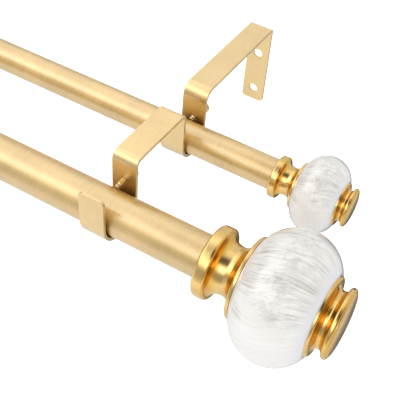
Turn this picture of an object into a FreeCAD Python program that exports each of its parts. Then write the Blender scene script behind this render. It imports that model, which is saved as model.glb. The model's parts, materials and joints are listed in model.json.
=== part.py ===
# Double curtain pole: two round rods of different size, one in front of the other,
# carried by two bent strip brackets, with a turned finial on every rod end.
#
# Frame: X runs along the rods, Y points at the wall and Z up. The origin is on the wall,
# half way between the brackets and half way between the upper and lower wall screw holes,
# so the room side of everything is at negative Y. All sizes are in millimetres.

import FreeCAD, Part
import os
from collections import namedtuple
from math import sqrt

V = FreeCAD.Vector

# Rods: plain tubes. Each projection is the distance from the wall to the rod's axis, and
# the overhang is how far the rods run on past the middle of each bracket.
ROD_LENGTH = 800.0
ROD_OVERHANG = 67.0
FRONT_ROD_D = 25.0
REAR_ROD_D = 19.0
ROD_WALL = 1.0
FRONT_PROJECTION = 176.0
REAR_PROJECTION = 99.0

# Brackets: one flat strip, bent into a wall plate, two arms and two open cradles.
STRIP_WIDTH = 16.0
STRIP_THICKNESS = 2.0
PLATE_HEIGHT = 60.0
PLATE_BELOW_HOLES = 9.0
WALL_HOLE_SPACING = 29.0
WALL_HOLE_D = 6.5
FRONT_ROD_DROP = 28.5
REAR_ROD_DROP = 27.0
LIP_RISE = 22.5
WALL_BEND_R = 1.0
REAR_SHOULDER_R = 6.0
RISER_BEND_R = 2.0
FRONT_SHOULDER_R = 3.5
CORNER_R = 2.5
EDGE_ROUND = 0.25
CRADLE_SIDE_GAP = 1.8
CRADLE_SEAT_GAP = 0.3

# Clamp screws: small machine screws, one through each cradle's rear leg, with a dog point
# that is set off from the thread by a neck. Each rise is the height of the screw above the
# axis of the rod that it clamps.
SCREW_D = 4.0
SCREW_LENGTH = 14.5
SCREW_POINT_D = 2.8
SCREW_POINT_LENGTH = 1.4
SCREW_NECK_D = 2.2
SCREW_NECK_LENGTH = 0.6
SCREW_BEVEL = 0.3
SCREW_HEAD_D = 8.0
SCREW_HEAD_HEIGHT = 2.8
SCREW_HEAD_RIM = 0.9
RECESS_SPAN = 4.4
RECESS_WIDTH = 1.0
RECESS_DEPTH = 1.5
FRONT_SCREW_RISE = 11.8
REAR_SCREW_RISE = 5.5
SCREW_RUNNING_GAP = 0.05
SCREW_TIP_GAP = 0.3

# Finials: collar, ball and end cap on one threaded stud, screwed into a plug in the rod.
ROD_SEAT_DEPTH = 3.0
ROD_SEAT_GAP = 0.15
STUD_GAP = 0.05
BALL_BORE_GAP = 0.3
PLUG_GAP = 0.05
PLUG_LEAD = 1.0
PLUG_RIBS = 8
PLUG_RIB_WIDTH = 1.4
PLUG_RIB_HEIGHT = 0.7
STUD_CHAMFER = 0.6
BORE_SPARE = 0.5

# Front finial.
FRONT_COLLAR_LENGTH = 24.0
FRONT_COLLAR_DISC_D = 41.0
FRONT_COLLAR_DISC_T = 7.4
FRONT_COLLAR_WAIST_D = 28.0
FRONT_COLLAR_FLANGE_D = 47.0
FRONT_COLLAR_FLANGE_T = 2.4
FRONT_BALL_D = 74.0
FRONT_BALL_LENGTH = 42.0
FRONT_BALL_FACE_D = 46.0
FRONT_CAP_LENGTH = 12.0
FRONT_CAP_FLANGE_D = 44.5
FRONT_CAP_FLANGE_T = 1.6
FRONT_CAP_WAIST_D = 32.0
FRONT_CAP_DISC_D = 39.0
FRONT_CAP_DISC_T = 3.4
FRONT_CAP_DOME = 1.8
FRONT_CAP_WALL = 3.8
FRONT_RIM_R = 1.8
FRONT_STUD_D = 8.0
FRONT_PLUG_LENGTH = 24.0

# Rear finial.
REAR_COLLAR_LENGTH = 15.5
REAR_COLLAR_DISC_D = 25.4
REAR_COLLAR_DISC_T = 4.8
REAR_COLLAR_WAIST_D = 17.4
REAR_COLLAR_FLANGE_D = 28.0
REAR_COLLAR_FLANGE_T = 1.6
REAR_BALL_D = 46.4
REAR_BALL_LENGTH = 26.0
REAR_BALL_FACE_D = 27.4
REAR_CAP_LENGTH = 7.6
REAR_CAP_FLANGE_D = 26.2
REAR_CAP_FLANGE_T = 1.0
REAR_CAP_WAIST_D = 18.8
REAR_CAP_DISC_D = 23.4
REAR_CAP_DISC_T = 2.1
REAR_CAP_DOME = 1.2
REAR_CAP_WALL = 2.4
REAR_RIM_R = 1.1
REAR_STUD_D = 6.0
REAR_PLUG_LENGTH = 18.0

Finial = namedtuple("Finial", """rod_d collar_length disc_d disc_t waist_d flange_d flange_t
    ball_d ball_length face_d cap_length cap_flange_d cap_flange_t cap_waist_d cap_disc_d
    cap_disc_t cap_dome cap_wall rim_r stud_d plug_length""")

FRONT_FINIAL = Finial(
    FRONT_ROD_D, FRONT_COLLAR_LENGTH, FRONT_COLLAR_DISC_D, FRONT_COLLAR_DISC_T,
    FRONT_COLLAR_WAIST_D, FRONT_COLLAR_FLANGE_D, FRONT_COLLAR_FLANGE_T,
    FRONT_BALL_D, FRONT_BALL_LENGTH, FRONT_BALL_FACE_D, FRONT_CAP_LENGTH, FRONT_CAP_FLANGE_D,
    FRONT_CAP_FLANGE_T, FRONT_CAP_WAIST_D, FRONT_CAP_DISC_D, FRONT_CAP_DISC_T,
    FRONT_CAP_DOME, FRONT_CAP_WALL, FRONT_RIM_R, FRONT_STUD_D, FRONT_PLUG_LENGTH)
REAR_FINIAL = Finial(
    REAR_ROD_D, REAR_COLLAR_LENGTH, REAR_COLLAR_DISC_D, REAR_COLLAR_DISC_T,
    REAR_COLLAR_WAIST_D, REAR_COLLAR_FLANGE_D, REAR_COLLAR_FLANGE_T,
    REAR_BALL_D, REAR_BALL_LENGTH, REAR_BALL_FACE_D, REAR_CAP_LENGTH, REAR_CAP_FLANGE_D,
    REAR_CAP_FLANGE_T, REAR_CAP_WAIST_D, REAR_CAP_DISC_D, REAR_CAP_DISC_T,
    REAR_CAP_DOME, REAR_CAP_WALL, REAR_RIM_R, REAR_STUD_D, REAR_PLUG_LENGTH)

# Heights and places that follow from the sizes above.
BRACKET_SPACING = ROD_LENGTH - 2 * ROD_OVERHANG
PLATE_BOTTOM = -WALL_HOLE_SPACING / 2 - PLATE_BELOW_HOLES
ARM_TOP = PLATE_BOTTOM + PLATE_HEIGHT
FRONT_ROD_Z = ARM_TOP - FRONT_ROD_DROP
REAR_ROD_Z = ARM_TOP - REAR_ROD_DROP


class Outline:
    """Half section of a turned piece, drawn as distance along the axis and radius."""

    def __init__(self, along, radius):
        self.start = (along, radius)
        self.here = (along, radius)
        self.edges = []

    def point(self, place):
        return V(place[0], 0, place[1])

    def line(self, along, radius):
        end = (along, radius)
        if (self.point(end) - self.point(self.here)).Length > 1e-6:
            self.edges.append(Part.makeLine(self.point(self.here), self.point(end)))
        self.here = end
        return self

    def quarter(self, corner, end):
        """Quarter of an ellipse, tangent to both sides of its corner."""
        poles = [self.point(self.here), self.point(corner), self.point(end)]
        curve = Part.BSplineCurve()
        curve.buildFromPolesMultsKnots(poles, [3, 3], [0, 1], False, 2, [1, sqrt(0.5), 1])
        self.edges.append(curve.toShape())
        self.here = end
        return self

    def arc(self, middle, end):
        """Part of a circle through a middle point."""
        circle = Part.Arc(self.point(self.here), self.point(middle), self.point(end))
        self.edges.append(circle.toShape())
        self.here = end
        return self

    def turned(self):
        """The closed section, spun a full turn about the X axis."""
        self.line(*self.start)
        face = Part.Face(Part.Wire(self.edges))
        return face.revolve(V(0, 0, 0), V(1, 0, 0), 360)


def tube(length, outer_r, inner_r):
    """Plain tube centred on the origin, lying along X."""
    start = V(-length / 2, 0, 0)
    outside = Part.makeCylinder(outer_r, length, start, V(1, 0, 0))
    inside = Part.makeCylinder(inner_r, length, start, V(1, 0, 0))
    return outside.cut(inside)


def strip_side(corners, radii, offset):
    """Edges of one side of a strip whose middle line turns square at each corner."""
    steps = [(b - a).normalize() for a, b in zip(corners, corners[1:])]
    left = [V(0, -step.z, step.y) for step in steps]
    edges = []
    here = corners[0] + left[0] * offset
    for corner, radius, into, out in zip(corners[1:-1], radii, range(len(steps)), range(1, len(steps))):
        turn = left[into].dot(steps[out])
        side_r = radius - turn * offset
        shifted = corner + (left[into] + left[out]) * offset
        begin = shifted - steps[into] * side_r
        end = shifted + steps[out] * side_r
        centre = begin + steps[out] * side_r
        middle = centre + (shifted - centre).normalize() * side_r
        if (begin - here).Length > 1e-6:
            edges.append(Part.makeLine(here, begin))
        edges.append(Part.Arc(begin, middle, end).toShape())
        here = end
    edges.append(Part.makeLine(here, corners[-1] + left[-1] * offset))
    return edges


def bent_strip(corners, radii):
    """Strip of the brackets' width and thickness, centred on X = 0."""
    half = STRIP_THICKNESS / 2
    near = strip_side(corners, radii, half)
    far = strip_side(corners, radii, -half)
    joined = [
        Part.makeLine(near[0].Vertexes[0].Point, far[0].Vertexes[0].Point),
        Part.makeLine(near[-1].Vertexes[-1].Point, far[-1].Vertexes[-1].Point),
    ]
    section = Part.Face(Part.Wire(Part.__sortEdges__(near + far + joined)))
    section.translate(V(-STRIP_WIDTH / 2, 0, 0))
    return section.extrude(V(STRIP_WIDTH, 0, 0))


def round_strip(strip, ends):
    """Rounds the strip's end corners, then takes the sharpness off its long edges."""
    half = STRIP_WIDTH / 2
    corners = []
    for edge in strip.Edges:
        box = edge.BoundBox
        across = box.XLength < 1e-6 and box.ZLength < 1e-6
        if across and any(abs(box.ZMin - end) < 1e-6 for end in ends):
            corners.append(edge)
    strip = strip.makeFillet(CORNER_R, corners)
    sides = [edge for edge in strip.Edges
             if edge.BoundBox.XLength < 1e-6 and abs(abs(edge.BoundBox.XMin) - half) < 1e-6]
    return strip.makeFillet(EDGE_ROUND, sides)


def hole(diameter, y, z, depth):
    """Cutter for a round hole along Y, through a wall whose wall side is at y."""
    return Part.makeCylinder(diameter / 2, 3 * depth, V(0, y - 2 * depth, z), V(0, 1, 0))


def cradle(rod_d):
    """Radius of a cradle's middle line, and how far its floor is below the rod's axis."""
    radius = rod_d / 2 + CRADLE_SIDE_GAP + STRIP_THICKNESS / 2
    floor = rod_d / 2 + CRADLE_SEAT_GAP + STRIP_THICKNESS / 2
    return radius, floor


def bracket():
    """One bracket, centred on X = 0, with its wall plate's back face at Y = 0."""
    half = STRIP_THICKNESS / 2
    arm = ARM_TOP - half
    rear_r, rear_floor = cradle(REAR_ROD_D)
    front_r, front_floor = cradle(FRONT_ROD_D)
    rear_leg = -REAR_PROJECTION + rear_r
    riser = -REAR_PROJECTION - rear_r
    front_leg = -FRONT_PROJECTION + front_r
    lip = -FRONT_PROJECTION - front_r
    rear_bottom = REAR_ROD_Z - rear_floor
    front_bottom = FRONT_ROD_Z - front_floor
    lip_top = FRONT_ROD_Z + LIP_RISE
    corners = [
        V(0, -half, PLATE_BOTTOM), V(0, -half, arm),
        V(0, rear_leg, arm), V(0, rear_leg, rear_bottom),
        V(0, riser, rear_bottom), V(0, riser, arm),
        V(0, front_leg, arm), V(0, front_leg, front_bottom),
        V(0, lip, front_bottom), V(0, lip, lip_top),
    ]
    radii = [WALL_BEND_R + half, REAR_SHOULDER_R + half, rear_r, rear_r, RISER_BEND_R + half,
             FRONT_SHOULDER_R + half, front_r, front_r]
    strip = round_strip(bent_strip(corners, radii), [PLATE_BOTTOM, lip_top])
    for z in (-WALL_HOLE_SPACING / 2, WALL_HOLE_SPACING / 2):
        strip = strip.cut(hole(WALL_HOLE_D, 0, z, STRIP_THICKNESS))
    thread_d = SCREW_D + 2 * SCREW_RUNNING_GAP
    strip = strip.cut(hole(thread_d, front_leg + half, FRONT_ROD_Z + FRONT_SCREW_RISE, STRIP_THICKNESS))
    return strip.cut(hole(thread_d, rear_leg + half, REAR_ROD_Z + REAR_SCREW_RISE, STRIP_THICKNESS))


def clamp_screw():
    """Screw with its point at the origin and its head towards the wall."""
    point_r = SCREW_POINT_D / 2
    neck_r = SCREW_NECK_D / 2
    shank_r = SCREW_D / 2
    head_r = SCREW_HEAD_D / 2
    shank_start = SCREW_POINT_LENGTH + SCREW_NECK_LENGTH
    top = SCREW_LENGTH + SCREW_HEAD_HEIGHT
    outline = Outline(0, 0)
    outline.line(0, point_r - SCREW_BEVEL).line(SCREW_BEVEL, point_r)
    outline.line(SCREW_POINT_LENGTH, point_r).line(SCREW_POINT_LENGTH, neck_r)
    outline.line(shank_start, neck_r).line(shank_start, shank_r - SCREW_BEVEL)
    outline.line(shank_start + SCREW_BEVEL, shank_r).line(SCREW_LENGTH, shank_r)
    outline.line(SCREW_LENGTH, head_r).line(SCREW_LENGTH + SCREW_HEAD_RIM, head_r)
    outline.quarter((top, head_r), (top, 0))
    screw = outline.turned()
    size = (2 * RECESS_DEPTH, RECESS_SPAN, RECESS_WIDTH)
    slot = Part.makeBox(*size, V(top - RECESS_DEPTH, -RECESS_SPAN / 2, -RECESS_WIDTH / 2))
    screw = screw.cut(slot)
    slot.rotate(V(0, 0, 0), V(1, 0, 0), 90)
    screw = screw.cut(slot)
    screw.rotate(V(0, 0, 0), V(0, 0, 1), 90)
    return screw


def screw_tip_y(rod_d, projection, rise):
    """Where a clamp screw's point stops, just short of the shoulder of its rod."""
    lowest = rise - SCREW_POINT_D / 2
    return -projection + sqrt((rod_d / 2) ** 2 - lowest ** 2) + SCREW_TIP_GAP


def collar(f):
    """Disc that the rod ends in, then one deep cove and the flange behind the ball."""
    bore_r = f.stud_d / 2 + STUD_GAP
    seat_r = f.rod_d / 2 + ROD_SEAT_GAP
    disc_r = f.disc_d / 2
    waist_r = f.waist_d / 2
    flange_r = f.flange_d / 2
    rim = f.rim_r
    flange_start = f.collar_length - f.flange_t
    edge_r = disc_r - rim
    rise_r = flange_r - rim
    lip = f.collar_length - f.flange_t / 2
    middle = (f.disc_t + flange_start) / 2
    outline = Outline(0, seat_r)
    outline.line(0, edge_r).quarter((0, disc_r), (rim, disc_r))
    outline.line(f.disc_t - rim, disc_r).quarter((f.disc_t, disc_r), (f.disc_t, edge_r))
    outline.quarter((f.disc_t, waist_r), (middle, waist_r))
    outline.quarter((flange_start, waist_r), (flange_start, rise_r))
    outline.quarter((flange_start, flange_r), (lip, flange_r))
    outline.line(f.collar_length, flange_r).line(f.collar_length, bore_r)
    outline.line(ROD_SEAT_DEPTH, bore_r).line(ROD_SEAT_DEPTH, seat_r)
    return outline.turned()


def ball(f):
    """Round bead with a flat face at each end and a hole for the stud."""
    bore_r = f.stud_d / 2 + BALL_BORE_GAP
    face_r = f.face_d / 2
    start = f.collar_length
    end = start + f.ball_length
    outline = Outline(start, bore_r)
    outline.line(start, face_r).arc(((start + end) / 2, f.ball_d / 2), (end, face_r))
    outline.line(end, bore_r)
    return outline.turned()


def end_cap(f):
    """Flange against the ball, a short hollowed waist and a slightly domed end disc."""
    bore_r = f.stud_d / 2 + STUD_GAP
    flange_r = f.cap_flange_d / 2
    waist_r = f.cap_waist_d / 2
    disc_r = f.cap_disc_d / 2
    start = f.collar_length + f.ball_length
    end = start + f.cap_length
    disc_end = end - f.cap_dome
    disc_start = disc_end - f.cap_disc_t
    flange_end = start + f.cap_flange_t
    middle = (flange_end + disc_start) / 2
    rim = f.cap_disc_t / 2
    outline = Outline(start, bore_r)
    outline.line(start, flange_r).quarter((flange_end, flange_r), (flange_end, flange_r - f.cap_flange_t))
    outline.quarter((flange_end, waist_r), (middle, waist_r))
    outline.quarter((disc_start, waist_r), (disc_start, disc_r - rim))
    outline.quarter((disc_start, disc_r), (disc_start + rim, disc_r))
    outline.quarter((disc_end, disc_r), (disc_end, disc_r - rim))
    outline.quarter((end, disc_r - rim), (end, 0))
    outline.line(cap_floor(f), 0).line(cap_floor(f), bore_r)
    return outline.turned()


def cap_floor(f):
    """Where the blind hole in the end cap stops."""
    return f.collar_length + f.ball_length + f.cap_length - f.cap_wall


def stud(f):
    """Threaded stud from the plug in the rod to the blind hole in the end cap."""
    radius = f.stud_d / 2
    start = ROD_SEAT_DEPTH - f.plug_length + BORE_SPARE
    end = cap_floor(f) - BORE_SPARE
    outline = Outline(start, 0)
    outline.line(start, radius - STUD_CHAMFER).line(start + STUD_CHAMFER, radius)
    outline.line(end - STUD_CHAMFER, radius).line(end, radius - STUD_CHAMFER).line(end, 0)
    return outline.turned()


def plug(f):
    """Ribbed plug pressed into the end of the rod, with the hole that the stud screws into."""
    outer_r = f.rod_d / 2 - ROD_WALL - PLUG_GAP
    body_r = outer_r - PLUG_RIB_HEIGHT
    bore_r = f.stud_d / 2 + STUD_GAP
    end = ROD_SEAT_DEPTH
    start = end - f.plug_length
    outline = Outline(start, bore_r)
    outline.line(start, outer_r - PLUG_LEAD).line(start + PLUG_LEAD, outer_r)
    outline.line(end, outer_r).line(end, bore_r)
    body = Part.makeCylinder(body_r, f.plug_length, V(start, 0, 0), V(1, 0, 0))
    bars = []
    for number in range(PLUG_RIBS):
        bar = Part.makeBox(f.plug_length, outer_r, PLUG_RIB_WIDTH, V(start, 0, -PLUG_RIB_WIDTH / 2))
        bar.rotate(V(0, 0, 0), V(1, 0, 0), 360 * number / PLUG_RIBS)
        bars.append(bar)
    return outline.turned().common(body.fuse(bars)).removeSplitter()


def placed(shape, side, y, z):
    """Moves a piece drawn from the collar's face to its rod end; the left one is turned round."""
    shape = shape.copy()
    shape.translate(V(ROD_LENGTH / 2 - ROD_SEAT_DEPTH, y, z))
    if side == "left":
        shape.rotate(V(0, y, z), V(0, 0, 1), 180)
    return shape


def rods():
    front = tube(ROD_LENGTH, FRONT_ROD_D / 2, FRONT_ROD_D / 2 - ROD_WALL)
    front.translate(V(0, -FRONT_PROJECTION, FRONT_ROD_Z))
    rear = tube(ROD_LENGTH, REAR_ROD_D / 2, REAR_ROD_D / 2 - ROD_WALL)
    rear.translate(V(0, -REAR_PROJECTION, REAR_ROD_Z))
    return {"front_rod": front, "rear_rod": rear}


def brackets_and_screws():
    pieces = {}
    places = {
        "front": (screw_tip_y(FRONT_ROD_D, FRONT_PROJECTION, FRONT_SCREW_RISE),
                  FRONT_ROD_Z + FRONT_SCREW_RISE),
        "rear": (screw_tip_y(REAR_ROD_D, REAR_PROJECTION, REAR_SCREW_RISE),
                 REAR_ROD_Z + REAR_SCREW_RISE),
    }
    for side, x in (("left", -BRACKET_SPACING / 2), ("right", BRACKET_SPACING / 2)):
        strip = bracket()
        strip.translate(V(x, 0, 0))
        pieces[side + "_bracket"] = strip
        for rod, (y, z) in places.items():
            screw = clamp_screw()
            screw.translate(V(x, y, z))
            pieces[side + "_" + rod + "_clamp_screw"] = screw
    return pieces


def finials():
    pieces = {}
    makers = {"finial_collar": collar, "finial_ball": ball, "finial_cap": end_cap,
              "finial_stud": stud, "rod_plug": plug}
    rows = (("front", FRONT_FINIAL, -FRONT_PROJECTION, FRONT_ROD_Z),
            ("rear", REAR_FINIAL, -REAR_PROJECTION, REAR_ROD_Z))
    for rod, sizes, y, z in rows:
        for name, make in makers.items():
            shape = make(sizes)
            for side in ("left", "right"):
                pieces[side + "_" + rod + "_" + name] = placed(shape, side, y, z)
    return pieces


def main():
    os.makedirs("parts", exist_ok=True)
    pieces = {}
    pieces.update(rods())
    pieces.update(brackets_and_screws())
    pieces.update(finials())
    for node, shape in pieces.items():
        solid = shape.Solids[0]
        print(node, "solids", len(shape.Solids), "valid", shape.isValid(),
              "volume", round(solid.Volume, 1))
        solid.exportStep("parts/" + node + ".step")


main()
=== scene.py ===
# %% [markdown]
# A double curtain pole: a thick front rod and a thin rear rod, carried by two brackets that are
# each one bent strip, with a turned gold and white finial on every rod end.
#
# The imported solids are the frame. They already have every size and place, so this script reads
# its measures from them and nothing is measured twice. Lengths are in metres: X runs along the
# rods, Y points at the wall and Z up.

# %% Load the frame
import json
from math import cos, radians, sin, tau

import bmesh
import bpy
from mathutils import Matrix, Vector

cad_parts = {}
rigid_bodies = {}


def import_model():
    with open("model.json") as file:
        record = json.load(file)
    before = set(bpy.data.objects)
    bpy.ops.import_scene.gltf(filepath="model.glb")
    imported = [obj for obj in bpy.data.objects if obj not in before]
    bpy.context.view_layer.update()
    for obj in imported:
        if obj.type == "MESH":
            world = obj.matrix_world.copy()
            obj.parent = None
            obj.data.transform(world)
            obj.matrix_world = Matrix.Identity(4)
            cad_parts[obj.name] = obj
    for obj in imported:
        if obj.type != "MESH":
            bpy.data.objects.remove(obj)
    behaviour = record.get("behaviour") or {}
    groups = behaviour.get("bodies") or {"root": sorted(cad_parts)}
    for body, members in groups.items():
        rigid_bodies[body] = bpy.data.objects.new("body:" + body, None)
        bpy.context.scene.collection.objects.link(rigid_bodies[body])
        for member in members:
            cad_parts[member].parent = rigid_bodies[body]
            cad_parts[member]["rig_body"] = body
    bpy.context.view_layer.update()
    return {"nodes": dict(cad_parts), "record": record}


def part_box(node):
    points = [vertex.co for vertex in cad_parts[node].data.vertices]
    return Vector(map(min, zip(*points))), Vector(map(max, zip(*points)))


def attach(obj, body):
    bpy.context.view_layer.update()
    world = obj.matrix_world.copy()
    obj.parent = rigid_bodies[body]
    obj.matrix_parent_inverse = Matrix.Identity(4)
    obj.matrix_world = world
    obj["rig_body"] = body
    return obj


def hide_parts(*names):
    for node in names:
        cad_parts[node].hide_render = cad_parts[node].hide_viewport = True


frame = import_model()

MM = 0.001

# %% [markdown]
# The camera comes first, because it decides which details show. The photographer stood in front
# of the right-hand end, above the rods, with the camera rolled a few degrees. The place and
# turn were solved from the edges of both rods, the bracket's corners and the finials, with the
# rods at their real size. A camera can be aimed with a Track To constraint, but its own three
# axes, written as the columns of a matrix, also hold the roll.

# %% Place the camera
CAMERA_PLACE = Vector((0.5157, -0.4263, 0.3241))
CAMERA_AZIMUTH = radians(26.99)
CAMERA_ELEVATION = radians(44.60)
CAMERA_ROLL = radians(5.45)
CAMERA_LENS_MM = 72.0
SENSOR_MM = 36.0


def camera_axes(azimuth, elevation, roll):
    """The camera's own right, up and backward directions."""
    right = Vector((cos(azimuth), sin(azimuth), 0))
    back = Vector((sin(azimuth) * cos(elevation), -cos(azimuth) * cos(elevation), sin(elevation)))
    up = back.cross(right)
    return cos(roll) * right + sin(roll) * up, cos(roll) * up - sin(roll) * right, back


def add_camera():
    lens = bpy.data.cameras.new("studio camera")
    lens.lens = CAMERA_LENS_MM
    lens.sensor_width = SENSOR_MM
    lens.clip_start = 10 * MM
    camera = bpy.data.objects.new("studio camera", lens)
    bpy.context.scene.collection.objects.link(camera)
    axes = camera_axes(CAMERA_AZIMUTH, CAMERA_ELEVATION, CAMERA_ROLL)
    turn = Matrix(axes).transposed().to_4x4()
    camera.matrix_world = Matrix.Translation(CAMERA_PLACE) @ turn
    bpy.context.scene.camera = camera
    return camera


camera = add_camera()
print("camera at", [round(value, 3) for value in camera.matrix_world.translation])

# %% [markdown]
# Node trees are drawn with a mouse in Blender's window. In a script they read better as sums.
# A Wire wraps a node's output and turns Python's operators into Math nodes, so a mask can be
# written as `1 - strand * cloud`. A Sheet wraps a whole tree and has one method that adds any
# node, with its settings first and then the values or wires of its sockets.

# %% Write node trees as Python
class Wire:
    """A node's output that makes Math nodes when it is used in an expression."""

    def __init__(self, sheet, node, socket):
        self.sheet = sheet
        self.node = node
        self.socket = socket

    def out(self, name):
        """Another output of the same node."""
        return Wire(self.sheet, self.node, self.node.outputs[name])

    def math(self, operation, *values):
        sockets = dict(enumerate(values))
        return self.sheet.add("ShaderNodeMath", {"operation": operation}, sockets)

    def __add__(self, other):
        return self.math("ADD", self, other)

    def __radd__(self, other):
        return self.math("ADD", other, self)

    def __sub__(self, other):
        return self.math("SUBTRACT", self, other)

    def __rsub__(self, other):
        return self.math("SUBTRACT", other, self)

    def __mul__(self, other):
        return self.math("MULTIPLY", self, other)

    def __rmul__(self, other):
        return self.math("MULTIPLY", other, self)

    def __truediv__(self, other):
        return self.math("DIVIDE", self, other)

    def __abs__(self):
        return self.math("ABSOLUTE", self)


class Sheet:
    """A node tree that is filled in by calls."""

    def __init__(self, tree):
        self.tree = tree

    def add(self, kind, settings=None, sockets=None, output=0):
        node = self.tree.nodes.new(kind)
        for name, value in (settings or {}).items():
            if name == "stops":
                self.fill_ramp(node.color_ramp, value)
            else:
                setattr(node, name, value)
        for name, value in (sockets or {}).items():
            if isinstance(value, Wire):
                self.tree.links.new(value.socket, node.inputs[name])
            else:
                node.inputs[name].default_value = value
        if not node.outputs:
            return node
        return Wire(self, node, node.outputs[output])

    def fill_ramp(self, ramp, stops):
        """Stops are (position, grey or colour) pairs."""
        while len(ramp.elements) < len(stops):
            ramp.elements.new(1.0)
        for element, (position, colour) in zip(ramp.elements, stops):
            element.position = position
            if isinstance(colour, float):
                colour = (colour, colour, colour)
            element.color = (*colour, 1.0)

    def vector(self, x, y, z):
        return self.add("ShaderNodeCombineXYZ", None, {0: x, 1: y, 2: z})

    def parts(self, wire):
        split = self.add("ShaderNodeSeparateXYZ", None, {0: wire})
        return split, split.out("Y"), split.out("Z")

    def place(self):
        """Where a point lies on the object, in metres."""
        return self.add("ShaderNodeTexCoord", None, None, output="Object")

    def stored(self, name, output):
        """What the mesh carries under this name, as a number or a vector."""
        return self.add("ShaderNodeAttribute", {"attribute_name": name}, None, output=output)

    def stretched(self, place, scale):
        return self.add("ShaderNodeMapping", None, {"Vector": place, "Scale": scale})

    def noise(self, place, scale, detail=2.0, roughness=0.5):
        sockets = {"Vector": place, "Scale": scale, "Detail": detail, "Roughness": roughness}
        return self.add("ShaderNodeTexNoise", None, sockets)

    def ramp(self, value, low, high):
        """Rises smoothly from 0 to 1 while the value goes from low to high."""
        settings = {"interpolation_type": "SMOOTHSTEP"}
        sockets = {"Value": value, "From Min": low, "From Max": high}
        return self.add("ShaderNodeMapRange", settings, sockets)

    def blend(self, factor, first, second):
        """Goes from the first colour to the second."""
        sockets = {0: factor, 6: first, 7: second}
        return self.add("ShaderNodeMix", {"data_type": "RGBA"}, sockets, output=2)

    def bump(self, height, strength, depth):
        sockets = {"Height": height, "Strength": strength, "Distance": depth}
        return self.add("ShaderNodeBump", None, sockets)


def new_material(name):
    """An empty material, and the sheet to write it on."""
    material = bpy.data.materials.new(name)
    material.use_nodes = True
    material.node_tree.nodes.clear()
    return material, Sheet(material.node_tree)


def finish_material(sheet, sockets):
    """Ends a material in one Principled shader."""
    shader = sheet.add("ShaderNodeBsdfPrincipled", None, sockets)
    sheet.add("ShaderNodeOutputMaterial", None, {"Surface": shader})


print("node helpers ready")

# %% [markdown]
# The rods and the brackets have the same satin light gold. On the real ones it is a thin plated
# or lacquered coat over brushed steel: fine scratches run round a rod, because it is ground
# while it spins, and along a strip, because it is ground flat before it is bent. A scratch is
# noise that is squeezed along one axis. It changes the roughness and tilts the surface a
# little, and a slower noise makes the soft clouds that such a coat has. The clear coat over
# both is what gives the rods their second, softer shine.

# %% Satin gold
ROD_TONES = ((0.59, 0.39, 0.115, 1.0), (0.73, 0.49, 0.16, 1.0))
STRIP_TONES = ((0.67, 0.475, 0.185, 1.0), (0.76, 0.545, 0.225, 1.0))
SCREW_TONES = ((0.66, 0.50, 0.24, 1.0), (0.80, 0.64, 0.36, 1.0))
CLOUDS_PER_M = 38.0
CLOUD_SHARE = 0.6
TONE_SPAN = (0.35, 0.65)
SCRATCHES_ROUGHEN = 0.16
CLOUDS_ROUGHEN = 0.08
SCRATCH_STRENGTH = 0.35
SCRATCH_DEPTH = 0.05 * MM
SATIN_COAT_ROUGHNESS = 0.22


def satin_gold(name, tones, stretch, cloud_shift, metal, roughness, coat_ior):
    """Brushed gold. The stretch gives how fast the scratches change along X, Y and Z."""
    material, sheet = new_material(name)
    place = sheet.place()
    clouded = sheet.add("ShaderNodeMapping", None, {"Vector": place, "Location": cloud_shift})
    scratches = sheet.noise(sheet.stretched(place, stretch), 1.0, 3.0, 0.65)
    clouds = sheet.noise(clouded, CLOUDS_PER_M, 3.0, 0.55)
    tone = clouds * CLOUD_SHARE + scratches * (1.0 - CLOUD_SHARE)
    uneven = (scratches - 0.5) * SCRATCHES_ROUGHEN + (clouds - 0.5) * CLOUDS_ROUGHEN
    finish_material(sheet, {
        "Base Color": sheet.blend(sheet.ramp(tone, *TONE_SPAN), *tones),
        "Metallic": metal,
        "Roughness": roughness + uneven,
        "Normal": sheet.bump(scratches, SCRATCH_STRENGTH, SCRATCH_DEPTH),
        "Coat Weight": 1.0,
        "Coat Roughness": SATIN_COAT_ROUGHNESS,
        "Coat IOR": coat_ior,
    })
    return material


rod_gold = satin_gold(
    "satin gold rod", ROD_TONES, stretch=(1400.0, 90.0, 90.0), cloud_shift=(0.0, 0.0, 0.0),
    metal=0.75, roughness=0.48, coat_ior=2.1)
strip_gold = satin_gold(
    "satin gold strip", STRIP_TONES, stretch=(900.0, 260.0, 260.0), cloud_shift=(1.3, 0.4, 0.2),
    metal=1.0, roughness=0.36, coat_ior=1.8)
screw_gold = satin_gold(
    "gold screw", SCREW_TONES, stretch=(700.0, 700.0, 700.0), cloud_shift=(2.1, 0.8, 0.5),
    metal=1.0, roughness=0.28, coat_ior=1.5)
print("satin gold", rod_gold.name, strip_gold.name, screw_gold.name)

# %% [markdown]
# The collars and end caps are turned and polished, with a deeper, warmer gold. Much of their
# look comes from their shape: light that bounces twice or three times in a cove is tinted by
# the metal each time. A deeper amber is also painted on the walls of the coves, as painted
# shade for that bounced light. The lathe below stores where those walls are, and this finish
# reads it. The lathe leaves very fine rings too, bands of noise along the axis.

# %% Polished gold
POLISHED_LIGHT = (0.78, 0.55, 0.225, 1.0)
POLISHED_DEEP = (0.70, 0.475, 0.17, 1.0)
PAINTED_COVE_AMBER = (0.73, 0.43, 0.085, 1.0)
PAINTED_COVE_SPAN = (0.15, 0.75)
RING_STRETCH = (2600.0, 25.0, 25.0)
POLISHED_CLOUDS_PER_M = 70.0
POLISHED_ROUGHNESS = 0.22
DULLER_CLOUDS = 0.12
DULLER_RINGS = 0.08
RING_STRENGTH = 0.2
RING_DEPTH = 0.02 * MM


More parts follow.
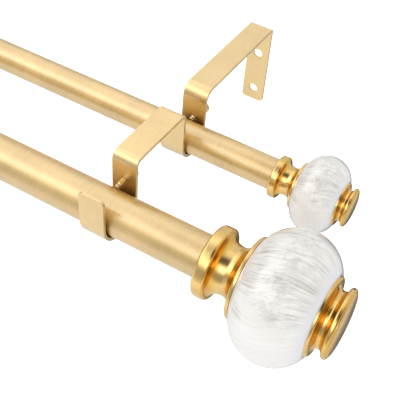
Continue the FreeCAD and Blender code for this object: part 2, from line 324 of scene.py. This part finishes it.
def polished_gold():
    material, sheet = new_material("polished gold")
    place = sheet.place()
    rings = sheet.noise(sheet.stretched(place, RING_STRETCH), 1.0)
    clouds = sheet.noise(place, POLISHED_CLOUDS_PER_M, 3.0, 0.6)
    open_gold = sheet.blend(sheet.ramp(clouds, *TONE_SPAN), POLISHED_DEEP, POLISHED_LIGHT)
    # Painted shade: the cove walls take a deeper amber that stands in for light bounced in the
    # coves.
    hollow = sheet.ramp(sheet.stored("hollow", "Fac"), *PAINTED_COVE_SPAN)
    uneven = (clouds - 0.5) * DULLER_CLOUDS + (rings - 0.5) * DULLER_RINGS
    finish_material(sheet, {
        "Base Color": sheet.blend(hollow, open_gold, PAINTED_COVE_AMBER),
        "Metallic": 1.0,
        "Roughness": POLISHED_ROUGHNESS + uneven,
        "Normal": sheet.bump(rings, RING_STRENGTH, RING_DEPTH),
    })
    return material


bright_gold = polished_gold()
print("polished gold", bright_gold.name)

# %% [markdown]
# The balls are cast resin: milky white, with fine grey strands under a clear skin. The strands
# run from flange to flange with a slant. A strand is noise that is narrow round the axis and
# long along it, and twisting the coordinates about the axis slants it. Three layers, each with
# its own slant and width, give the combed, slightly crossed look. Round the middle of the ball
# the strands are stirred up and fade into a mottled smoke. Where a slow noise is high, and more
# so towards the top before the ball's spin, the strands are denser and a faint haze lies. Towards
# the flanges the strands end and only clear resin shows.
# The pattern reads a "bead" attribute, which the lathe below stores, so a large and a small
# ball carry the same pattern at their own size.

# %% Streaked white resin
RESIN_WHITE = (0.945, 0.93, 0.895, 1.0)
RESIN_CLEAR = (0.85, 0.855, 0.885, 1.0)
STRAND_GREY = (0.55, 0.505, 0.46, 1.0)
STRAND_LAYERS = (
    # slant, strands round the axis, change along it, share of the tone
    (0.30, 20.0, 0.45, 0.38),
    (0.10, 38.0, 0.60, 0.34),
    (0.52, 66.0, 0.80, 0.28),
)
LAYER_GAP = 7.0
STRAND_WANDER = 0.9
STRAND_SPAN = (0.40, 0.53)
DENSE_SPAN = (0.32, 0.60)
DENSE_UPWARD = 0.30
SMOKE_SPAN = (0.44, 0.62)

# How grey the strands and the smoke are: everywhere, and how much more where the casting is
# dense or stirred.
STRANDS, DENSE_STRANDS, LOST_IN_STIR = 0.24, 0.48, 0.45
SMOKE, STIRRED_SMOKE, HAZE = 0.20, 0.28, 0.06

# Distances from the middle of the ball along the axis, in ball radii.
STIRRED = (0.05, 0.36)
CLEAR = (0.40, 0.54)
SKIN_ROUGHNESS = 0.16


def strand_layer(sheet, along, spoke, slant, count, change):
    """Noise drawn out into strands that run along the axis with a slant."""
    turned = sheet.add("ShaderNodeVectorRotate", {"rotation_type": "X_AXIS"},
                       {"Vector": spoke, "Angle": along * slant})
    _, side, top = sheet.parts(turned)
    drawn_out = sheet.vector(along * change + slant * LAYER_GAP, side * count, top * count)
    return sheet.noise(drawn_out, 1.0, 3.0, 0.7)


def combed_strands(sheet, bead, along, spoke):
    """All layers together: 1 on a strand, and 0 between strands."""
    bent = along + (sheet.noise(bead, 1.3, 1.0, 0.5) - 0.5) * STRAND_WANDER
    tone = 0.0
    for slant, count, change, share in STRAND_LAYERS:
        tone = strand_layer(sheet, bent, spoke, slant, count, change) * share + tone
    return 1.0 - sheet.ramp(tone, *STRAND_SPAN)


def streaked_resin():
    material, sheet = new_material("streaked white resin")
    bead = sheet.stored("bead", "Vector")
    along, across, upward = sheet.parts(bead)
    spoke = sheet.add("ShaderNodeVectorMath", {"operation": "NORMALIZE"},
                      {0: sheet.vector(0.0, across, upward)})
    strands = combed_strands(sheet, bead, along, spoke)
    smoke = sheet.ramp(sheet.noise(bead, 3.8, 5.0, 0.75), *SMOKE_SPAN)
    dense = sheet.ramp(sheet.noise(bead, 1.5, 2.0, 0.5) + upward * DENSE_UPWARD, *DENSE_SPAN)
    stirred = 1.0 - sheet.ramp(abs(along), *STIRRED)
    strand_grey = strands * (dense * DENSE_STRANDS + STRANDS) * (1.0 - stirred * LOST_IN_STIR)
    smoke_grey = (smoke * (stirred * STIRRED_SMOKE + SMOKE) + HAZE) * dense
    streaked = sheet.blend(strand_grey + smoke_grey, RESIN_WHITE, STRAND_GREY)
    clear = sheet.ramp(abs(along), *CLEAR)
    finish_material(sheet, {
        "Base Color": sheet.blend(clear, streaked, RESIN_CLEAR),
        "Roughness": 0.34,
        "Coat Weight": 1.0,
        "Coat Roughness": SKIN_ROUGHNESS,
        "Coat IOR": 1.5,
    })
    return material


resin_white = streaked_resin()
print("resin", resin_white.name)

# %% [markdown]
# Two finishes are inside, where only a taken-apart view shows them: the zinc plated studs, with
# their bluish grey mottling, and the white plastic plugs, whose moulded skin is finely pitted
# and carries faint flow marks. Both are plain noise, coarse for the colour and fine for the
# bump. The cell then pairs every finish with the record's slot that it stands for.

# %% Plated steel and moulded plastic
ZINC_TONES = ((0.52, 0.54, 0.57, 1.0), (0.72, 0.73, 0.75, 1.0))
PLASTIC_TONES = ((0.84, 0.83, 0.80, 1.0), (0.90, 0.89, 0.86, 1.0))
MOTTLES_PER_M = 420.0
GRAINS_PER_M = 1500.0
FLOW_MARKS_PER_M = 60.0


def plated_steel():
    material, sheet = new_material("zinc plated steel")
    mottle = sheet.noise(sheet.place(), MOTTLES_PER_M, 4.0, 0.6)
    finish_material(sheet, {
        "Base Color": sheet.blend(mottle, *ZINC_TONES),
        "Metallic": 1.0,
        "Roughness": 0.28 + mottle * 0.2,
        "Normal": sheet.bump(mottle, 0.15, 0.03 * MM),
    })
    return material


def moulded_plastic():
    material, sheet = new_material("white moulded plastic")
    place = sheet.place()
    grain = sheet.noise(place, GRAINS_PER_M)
    flow = sheet.noise(place, FLOW_MARKS_PER_M)
    finish_material(sheet, {
        "Base Color": sheet.blend(flow, *PLASTIC_TONES),
        "Roughness": 0.5 + (grain - 0.5) * 0.2,
        "Normal": sheet.bump(grain, 0.25, 0.04 * MM),
    })
    return material


finish_of_slot = {
    "satin_gold_rod": rod_gold,
    "satin_gold_strip": strip_gold,
    "gold_screw": screw_gold,
    "polished_gold": bright_gold,
    "white_resin": resin_white,
    "plated_steel": plated_steel(),
    "white_plastic": moulded_plastic(),
}
slot_of_node = {part["node"]: part["material_slot"] for part in frame["record"]["subparts"]}
print("finishes", len(finish_of_slot))

# %% [markdown]
# Every piece below stands in for one solid of the frame. Three steps are the same for all of
# them: the finish comes from the record's slot for that node, the piece rides on the node's
# body, and the node itself is hidden. Smooth shading would bend light round sharp corners, so
# edges over a set angle are marked sharp, and Weighted Normal keeps the flat faces flat.

# %% Dress a node with a piece
MERGE_DISTANCE = 0.002 * MM
SHARP_ANGLE = radians(32)
FLAT_FACE_WEIGHT = 80


def evaluated_mesh(piece):
    """What the piece's modifiers make, as a plain mesh."""
    graph = bpy.context.evaluated_depsgraph_get()
    return bpy.data.meshes.new_from_object(piece.evaluated_get(graph), depsgraph=graph)


def apply_modifiers(piece):
    made = evaluated_mesh(piece)
    piece.modifiers.clear()
    piece.data = made


def new_piece(name, mesh):
    piece = bpy.data.objects.new(name, mesh)
    bpy.context.scene.collection.objects.link(piece)
    return piece


def close_surface(mesh):
    """Merges loose points and turns every face outwards."""
    shell = bmesh.new()
    shell.from_mesh(mesh)
    bmesh.ops.remove_doubles(shell, verts=shell.verts, dist=MERGE_DISTANCE)
    bmesh.ops.recalc_face_normals(shell, faces=shell.faces)
    shell.to_mesh(mesh)
    shell.free()


def dress(piece, node):
    """Smooths the piece and lets it stand for the node."""
    close_surface(piece.data)
    piece.data.shade_smooth()
    piece.data.set_sharp_from_angle(angle=SHARP_ANGLE)
    weighted = piece.modifiers.new("flat faces stay flat", "WEIGHTED_NORMAL")
    weighted.keep_sharp = True
    weighted.weight = FLAT_FACE_WEIGHT
    apply_modifiers(piece)
    piece.data.materials.clear()
    piece.data.materials.append(finish_of_slot[slot_of_node[node]])
    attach(piece, frame["nodes"][node]["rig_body"])
    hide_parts(node)
    return piece


print("sharp edges from", round(SHARP_ANGLE, 2), "rad")

# %% [markdown]
# The brackets are right as they are in the frame: one strip with square bends, open cradles,
# rounded ends and drilled holes. The frame stores loose triangles, so a copy is merged first,
# and then it takes smooth shading. Modelling the strip again would only risk a misfit.

# %% Brackets
def merged_copy(node):
    """The node's surface with its loose triangles joined up."""
    mesh = frame["nodes"][node].data.copy()
    mesh.name = node
    close_surface(mesh)
    return mesh


def bracket(side):
    node = side + "_bracket"
    return dress(new_piece(node + "_strip", merged_copy(node)), node)


for side in ("left", "right"):
    strip = bracket(side)
    print(strip.name, "faces", len(strip.data.polygons))

# %% [markdown]
# Rods, collars, balls and caps are all turned: one half-section, spun round an axis. Blender
# can spin with the Screw modifier, with bmesh or with Geometry Nodes. Geometry Nodes keep the
# number of steps as a dial, and the half-section can come straight from the frame: the node is
# cut by two planes through its axis, and the edges left in the first plane are the outline.

# %% Cut a half-section from a node
CUT_MARGIN = 0.0001 * MM


def node_axis(node):
    """A point in the middle of the node's axis."""
    low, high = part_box(node)
    return (low + high) / 2


def half_section(node):
    """Outline as a mesh of edges: X is the distance along the axis and Z the radius."""
    middle = node_axis(node)
    shell = bmesh.new()
    shell.from_mesh(frame["nodes"][node].data)
    bmesh.ops.remove_doubles(shell, verts=shell.verts, dist=MERGE_DISTANCE)
    for normal, clear_front in ((Vector((0, 0, 1)), False), (Vector((0, 1, 0)), True)):
        everything = shell.verts[:] + shell.edges[:] + shell.faces[:]
        bmesh.ops.bisect_plane(shell, geom=everything, dist=CUT_MARGIN, plane_co=middle,
                               plane_no=normal, clear_inner=True, clear_outer=clear_front)
    bmesh.ops.remove_doubles(shell, verts=shell.verts, dist=MERGE_DISTANCE)
    bmesh.ops.translate(shell, verts=shell.verts, vec=-middle)
    outline = bpy.data.meshes.new(node + " outline")
    shell.to_mesh(outline)
    shell.free()
    return outline


outline = half_section("right_front_finial_collar")
print("collar outline", len(outline.vertices), "points")

# %% [markdown]
# The lathe is a node tree. Curve to Mesh sweeps a profile along a circle: the profile's X then
# points outwards and its Y points down the circle's axis. So the outline's points are first
# moved into that plane, one circle radius further in, and the result is laid over on its side.
# The tree also stores two attributes that the finishes read. "bead" is the place of each point
# in ball radii. The other is the mask of the painted cove shade: 1 on a surface that faces along
# the axis, as the walls of the coves do, fading to 0 on the end faces, which are open to the
# light. For that the tree is told half the piece's length.

# %% The lathe
LATHE_CIRCLE_R = 0.01
COVE_ENDS = (0.80, 0.92)


def new_tree(name, inputs):
    """A Geometry Nodes tree with named inputs, its sheet, and the wires of the inputs."""
    tree = bpy.data.node_groups.new(name, "GeometryNodeTree")
    for label, kind in inputs.items():
        tree.interface.new_socket(label, in_out="INPUT", socket_type="NodeSocket" + kind)
    tree.interface.new_socket("Geometry", in_out="OUTPUT", socket_type="NodeSocketGeometry")
    sheet = Sheet(tree)
    start = sheet.add("NodeGroupInput")
    return tree, sheet, {label: start.out(label) for label in inputs}


def end_tree(sheet, geometry, material):
    real = sheet.add("GeometryNodeRealizeInstances", None, {"Geometry": geometry})
    done = sheet.add("GeometryNodeSetMaterial", None, {"Geometry": real, "Material": material})
    sheet.add("NodeGroupOutput", None, {"Geometry": done})


def store(sheet, geometry, name, kind, value):
    """Gives every point of the geometry an attribute."""
    settings = {"data_type": kind, "domain": "POINT"}
    sockets = {"Geometry": geometry, "Name": name, "Value": value}
    return sheet.add("GeometryNodeStoreNamedAttribute", settings, sockets)


def lathe_tree():
    tree, sheet, given = new_tree("lathe", {
        "Outline": "Geometry", "Steps": "Int", "Bead radius": "Float", "Spin": "Float",
        "Half length": "Float", "Middle": "Vector", "Finish": "Material"})
    place = sheet.add("GeometryNodeInputPosition")
    along, _, radius = sheet.parts(place)
    in_plane = sheet.add("GeometryNodeSetPosition", None, {
        "Geometry": given["Outline"],
        "Position": sheet.vector(radius - LATHE_CIRCLE_R, 0.0 - along, 0.0)})
    circle = sheet.add("GeometryNodeCurvePrimitiveCircle", None, {
        "Resolution": given["Steps"], "Radius": LATHE_CIRCLE_R})
    profile = sheet.add("GeometryNodeMeshToCurve", None, {"Mesh": in_plane})
    spun = sheet.add("GeometryNodeCurveToMesh", None, {
        "Curve": circle, "Profile Curve": profile})
    laid = sheet.add("GeometryNodeTransform", None, {
        "Geometry": spun, "Rotation": (0.0, tau / 4, 0.0)})
    bead_radius = given["Bead radius"]
    shrunk = sheet.add("ShaderNodeVectorMath", {"operation": "DIVIDE"}, {
        0: place, 1: sheet.vector(bead_radius, bead_radius, bead_radius)})
    bead = sheet.add("ShaderNodeVectorRotate", {"rotation_type": "X_AXIS"}, {
        "Vector": shrunk, "Angle": given["Spin"]})
    facing, _, _ = sheet.parts(sheet.add("GeometryNodeInputNormal"))
    inside = 1.0 - sheet.ramp(abs(along) / given["Half length"], *COVE_ENDS)
    marked = store(sheet, laid, "bead", "FLOAT_VECTOR", bead)
    # Mask of the painted cove shade: surfaces that face along the axis, away from the end faces.
    marked = store(sheet, marked, "hollow", "FLOAT", abs(facing) * inside)
    moved = sheet.add("GeometryNodeTransform", None, {
        "Geometry": marked, "Translation": given["Middle"]})
    end_tree(sheet, moved, given["Finish"])
    return tree


def run_tree(piece, tree, values):
    """Runs the tree on the piece and keeps the result as its plain mesh."""
    modifier = piece.modifiers.new(tree.name, "NODES")
    modifier.node_group = tree
    sockets = {item.name: item.identifier for item in tree.interface.items_tree
               if item.in_out == "INPUT"}
    for label, value in values.items():
        modifier[sockets[label]] = value
    apply_modifiers(piece)


lathe = lathe_tree()
print("lathe nodes", len(lathe.nodes))

# %% [markdown]
# Now each turned solid goes through the lathe, with enough steps that no facet shows even on
# the outline of the large balls. The spin turns the dense side of a ball about its axis. The
# balls on the left get another spin than those on the right, because a finial stops wherever
# its thread is tight.

# %% Turn the rods and finials
TURN_STEPS = 160
BALL_SPIN = {"left": 2.3, "right": 0.5}


def turned(node, name, spin=0.0):
    low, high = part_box(node)
    piece = new_piece(name, half_section(node))
    run_tree(piece, lathe, {
        "Steps": TURN_STEPS, "Bead radius": (high.z - low.z) / 2, "Spin": spin,
        "Half length": (high.x - low.x) / 2, "Middle": node_axis(node),
        "Finish": finish_of_slot[slot_of_node[node]]})
    return dress(piece, node)


for rod in ("front", "rear"):
    made = [turned(rod + "_rod", rod + "_rod_tube")]
    for side in ("left", "right"):
        end = side + "_" + rod
        made.append(turned(end + "_finial_collar", end + "_collar_turned"))
        made.append(turned(end + "_finial_ball", end + "_ball_turned", BALL_SPIN[side]))
        made.append(turned(end + "_finial_cap", end + "_cap_turned"))
    print(rod, [len(piece.data.polygons) for piece in made])

# %% [markdown]
# The clamp screws and the studs carry threads. A thread is a ridge that winds round a core, so
# the tree sweeps a three-sided profile along a helix. The frame's screw is as thick as its
# thread's crests, so the copy's shank is first turned down to the root, and the ridge then
# brings it back to size. The ridge thins out at both ends, as a cut or rolled thread does.

# %% The thread
RIDGE_SIDES = 3
TURN_POINTS = 28
ROOT_SHARE = 0.84
RIDGE_SHARE = 0.52
FADE_TURNS = 0.75
TIP_SHARE = 0.3


def thread_tree():
    tree, sheet, given = new_tree("thread", {
        "Core": "Geometry", "Crest radius": "Float", "Pitch": "Float", "Length": "Float",
        "Start": "Vector", "Turn": "Vector", "Finish": "Material"})
    ridge_r = given["Pitch"] * RIDGE_SHARE
    turns = given["Length"] / given["Pitch"]
    wire_r = given["Crest radius"] - ridge_r
    helix = sheet.add("GeometryNodeCurveSpiral", None, {
        "Resolution": TURN_POINTS, "Rotations": turns, "Start Radius": wire_r,
        "End Radius": wire_r, "Height": given["Length"]})
    upright = sheet.add("GeometryNodeSetCurveNormal", {"mode": "Z_UP"}, {"Curve": helix})
    gone = sheet.add("GeometryNodeSplineParameter")
    from_start = gone * turns / FADE_TURNS
    from_end = (1.0 - gone) * turns / FADE_TURNS
    fade = sheet.add("ShaderNodeMath", {"operation": "MINIMUM", "use_clamp": True}, {
        0: from_start, 1: from_end})
    side = sheet.add("GeometryNodeCurvePrimitiveCircle", None, {
        "Resolution": RIDGE_SIDES, "Radius": ridge_r})
    ridge = sheet.add("GeometryNodeCurveToMesh", None, {
        "Curve": upright, "Profile Curve": side, "Fill Caps": True,
        "Scale": TIP_SHARE + fade * (1.0 - TIP_SHARE)})
    placed = sheet.add("GeometryNodeTransform", None, {
        "Geometry": ridge, "Translation": given["Start"], "Rotation": given["Turn"]})
    join = sheet.tree.nodes.new("GeometryNodeJoinGeometry")
    for wire in (given["Core"], placed):
        sheet.tree.links.new(wire.socket, join.inputs["Geometry"])
    end_tree(sheet, Wire(sheet, join, join.outputs[0]), given["Finish"])
    return tree


thread = thread_tree()
print("thread nodes", len(thread.nodes))

# %% [markdown]
# The record says which way a screw points. The clamp screws lie along Y with their heads
# towards the wall, and the studs lie along X. In both, the thread starts a little way in from
# the narrow end. Whatever lies between the thread's root and its crests is turned down, and a
# small margin takes in the last ring, where the shank meets the head or the end is bevelled.

# %% Cut the threads
X_AXIS, Y_AXIS = 0, 1
SCREW_PITCH = 0.7 * MM
SCREW_THREAD = (2.3 * MM, 14.4 * MM)
SCREW_R = 2.0 * MM
STUD_PITCH = {"front": 1.25 * MM, "rear": 1.0 * MM}
STUD_END = 0.3 * MM
TURN_MARGIN = 0.35 * MM
ROUND_OFF = 0.01 * MM


def turn_down(mesh, centre, axis, span, crest_r):
    """Moves the shank's skin in to the thread's root, between two distances along the axis."""
    root_r = crest_r * ROOT_SHARE
    for vertex in mesh.vertices:
        offset = vertex.co - centre
        along = offset[axis]
        offset[axis] = 0.0
        inside = span[0] - TURN_MARGIN < along < span[1] + TURN_MARGIN
        if inside and root_r < offset.length < crest_r + ROUND_OFF:
            root = offset.normalized() * root_r
            root[axis] = along
            vertex.co = centre + root


def threaded(node, name, axis, span, crest_r, pitch, point):
    """A copy of the node with a real thread over the span, measured from the node's point."""
    mesh = merged_copy(node)
    turn_down(mesh, point, axis, span, crest_r)
    piece = new_piece(name, mesh)
    start = point.copy()
    start[axis] += span[0]
    turn = Vector((-tau / 4, 0, 0)) if axis == Y_AXIS else Vector((0, tau / 4, 0))
    run_tree(piece, thread, {
        "Crest radius": crest_r, "Pitch": pitch, "Length": span[1] - span[0],
        "Start": start, "Turn": turn, "Finish": finish_of_slot[slot_of_node[node]]})
    return dress(piece, node)


def clamp_screw(side, rod):
    node = side + "_" + rod + "_clamp_screw"
    low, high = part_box(node)
    middle = (low + high) / 2
    point = Vector((middle.x, low.y, middle.z))
    return threaded(node, node + "_threaded", Y_AXIS, SCREW_THREAD, SCREW_R, SCREW_PITCH, point)


def stud(side, rod):
    node = side + "_" + rod + "_finial_stud"
    low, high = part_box(node)
    middle = (low + high) / 2
    point = Vector((low.x, middle.y, middle.z))
    span = (STUD_END, high.x - low.x - STUD_END)
    crest_r = (high.z - low.z) / 2
    return threaded(node, node + "_threaded", X_AXIS, span, crest_r, STUD_PITCH[rod], point)


for rod in ("front", "rear"):
    for side in ("left", "right"):
        for piece in (clamp_screw(side, rod), stud(side, rod)):
            low, high = Vector(piece.bound_box[0]), Vector(piece.bound_box[6])
            size = [round(value / MM, 2) for value in high - low]
            print(piece.name, "faces", len(piece.data.polygons), "mm", size)

# %% [markdown]
# The plugs are sealed inside the rods and keep the frame's own solids, with a finish of their
# own. Nothing hides the rest: every other node is replaced by a piece above.

# %% Plugs
for node in sorted(frame["nodes"]):
    if node.endswith("_rod_plug"):
        solid = frame["nodes"][node]
        solid.data.materials.clear()
        solid.data.materials.append(finish_of_slot[slot_of_node[node]])
        print(node, "finished")

# %% [markdown]
# The photograph has a pure white ground. The floor is a pale sheet well below the poles, so
# the shadow that falls on it is soft and wide, as it would be with the poles up on a wall. It
# ends in front of the poles, and the gap between its edge and the key light is the dark line
# low on every round part. The floor also glows a little, but only to rays from the camera,
# through clear material or off gloss, so it lights nothing. Off gloss that glow fades towards
# the wall, and a dark card lies there behind the rods: metal needs something dark to mirror,
# or its shape drowns in white. The world works in the same way. The camera sees it white, and
# gloss sees a studio in it: a long key light in front, which draws the pale line along the
# rods, and a wide sheet overhead, with darker gaps between them.

# %% Floor and world
FLOOR_Z = -0.62
FLOOR_FRONT = -1.45
FLOOR_REACH = 6.0
FLOOR_COLOUR = (0.90, 0.90, 0.90, 1.0)
FLOOR_GLOW = 0.75
MIRRORED_SHARE = 0.53
MIRRORED_TO = (-1.20, 0.20)
CARD_LEFT = (-0.25, 0.05)
CARD_RIGHT = (0.66, 0.74)
CARD_BACK = (0.0, 0.30)
CARD_GREY = (0.12, 0.12, 0.12, 1.0)
WORLD_LIGHT = (0.87, 0.87, 0.87, 1.0)
WHITE = (1.0, 1.0, 1.0, 1.0)

# Brightness by height round the rods' axis: 0.5 is level in front, 0.75 overhead and 1.0 level
# at the wall. The key light over the rods sits higher than the one over the finials, where a
# dark card above it leaves a dark patch on each collar and cap. Dark flags at both ends of
# the rods darken the walls of the coves.
OVER_RODS = (
    (0.00, 0.50), (0.25, 0.80), (0.43, 0.95), (0.46, 0.85), (0.50, 0.72), (0.54, 0.50),
    (0.57, 0.70), (0.605, 2.00), (0.645, 2.90), (0.68, 2.50), (0.71, 2.05), (0.76, 1.60),
    (0.82, 1.38), (0.88, 1.40), (0.90, 1.25), (0.95, 0.75), (1.00, 0.50),
)
OVER_FINIALS = (
    (0.00, 0.95), (0.25, 0.95), (0.44, 0.85), (0.47, 0.48), (0.525, 0.45), (0.555, 0.80),
    (0.58, 1.80), (0.64, 1.60), (0.662, 0.40), (0.675, 0.10), (0.735, 0.10), (0.760, 0.80),
    (0.85, 1.00), (1.00, 0.90),
)
FINIALS_SIDE = (-0.315, -0.28)
FLAGS = (0.80, 0.94)
FLAG_LIGHT = (0.22, 0.22, 0.22, 1.0)


def kinds_of_ray(sheet):
    """Three wires, each 1 for one kind of ray: the camera's, off gloss, and through clear."""
    path = sheet.add("ShaderNodeLightPath", None, None, output="Is Camera Ray")
    return path, path.out("Is Glossy Ray"), path.out("Is Transmission Ray")


def on_card(sheet, x, y):
    """1 on the dark card that lies behind the rods, with soft edges."""
    between_ends = sheet.ramp(x, *CARD_LEFT) * (1.0 - sheet.ramp(x, *CARD_RIGHT))
    return between_ends * sheet.ramp(y, *CARD_BACK)


def add_floor():
    mesh = bpy.data.meshes.new("floor")
    corners = [(-FLOOR_REACH, FLOOR_FRONT), (FLOOR_REACH, FLOOR_FRONT),
               (FLOOR_REACH, FLOOR_REACH), (-FLOOR_REACH, FLOOR_REACH)]
    mesh.from_pydata([(x, y, FLOOR_Z) for x, y in corners], [], [(0, 1, 2, 3)])
    material, sheet = new_material("floor")
    camera_ray, glossy_ray, clear_ray = kinds_of_ray(sheet)
    x, y, _ = sheet.parts(sheet.place())
    mirrored = glossy_ray * (1.0 - sheet.ramp(y, *MIRRORED_TO)) * MIRRORED_SHARE
    seen = camera_ray + clear_ray + mirrored
    card = glossy_ray * on_card(sheet, x, y)
    diffuse = sheet.add("ShaderNodeBsdfDiffuse", None, {
        "Color": sheet.blend(card, FLOOR_COLOUR, CARD_GREY)})
    glow = sheet.add("ShaderNodeEmission", None, {"Color": WHITE, "Strength": seen * FLOOR_GLOW})
    both = sheet.add("ShaderNodeAddShader", None, {0: diffuse, 1: glow})
    sheet.add("ShaderNodeOutputMaterial", None, {"Surface": both})
    floor = new_piece("floor", mesh)
    floor.data.materials.append(material)
    return floor


def add_world():
    """White to the camera, and to gloss a studio: bright sheets with dark gaps between."""
    world = bpy.data.worlds.new("studio")
    world.use_nodes = True
    world.node_tree.nodes.clear()
    sheet = Sheet(world.node_tree)
    camera_ray, glossy_ray, clear_ray = kinds_of_ray(sheet)
    x, y, z = sheet.parts(sheet.add("ShaderNodeTexCoord", None, None, output="Generated"))
    height = sheet.add("ShaderNodeMath", {"operation": "ARCTAN2"}, {0: z, 1: 0.0 - y}) / tau + 0.5
    over_rods = sheet.add("ShaderNodeValToRGB", {"stops": OVER_RODS}, {"Fac": height})
    over_finials = sheet.add("ShaderNodeValToRGB", {"stops": OVER_FINIALS}, {"Fac": height})
    sheets = sheet.blend(sheet.ramp(x, *FINIALS_SIDE), over_rods, over_finials)
    flags = sheet.ramp(abs(x), *FLAGS)
    studio = sheet.blend(flags, sheets, FLAG_LIGHT)
    glow = sheet.blend(glossy_ray, WORLD_LIGHT, studio)
    colour = sheet.blend(camera_ray + clear_ray, glow, WHITE)
    back = sheet.add("ShaderNodeBackground", None, {"Color": colour, "Strength": 1.0})
    sheet.add("ShaderNodeOutputWorld", None, {"Surface": back})
    bpy.context.scene.world = world


floor = add_floor()
add_world()
print(floor.name, "at", FLOOR_Z, "m")

# %% [markdown]
# The world above lights the object evenly, and three soft lamps give the light a direction. A
# strip lamp in front, above the right end, brightens the side that faces the camera. A wide
# sheet overhead lights the tops and throws the soft shadow, and a fill from the left keeps
# the far side of the balls from going grey.

# %% Lamps
LIT_POINT = Vector((0.3, -0.14, 0.0))


def soft_lamp(name, place, size, power):
    light = bpy.data.lights.new(name, "AREA")
    light.shape = "RECTANGLE"
    light.size, light.size_y = size
    light.energy = power
    lamp = bpy.data.objects.new(name, light)
    bpy.context.scene.collection.objects.link(lamp)
    lamp.location = place
    lamp.rotation_euler = (LIT_POINT - Vector(place)).to_track_quat("-Z", "Y").to_euler()
    return lamp


lamps = [
    soft_lamp("front strip", place=(0.60, -1.35, 0.85), size=(1.2, 0.36), power=2.4),
    soft_lamp("overhead sheet", place=(0.3, 0.6, 1.9), size=(2.6, 1.0), power=3.0),
    soft_lamp("side fill", place=(-1.6, -0.9, 0.9), size=(1.2, 1.2), power=2.5),
]
print("lamps", [lamp.name for lamp in lamps])

# %% [markdown]
# Standard view transform shows the colours as they are written.

# %% View
bpy.context.scene.view_settings.view_transform = "Standard"
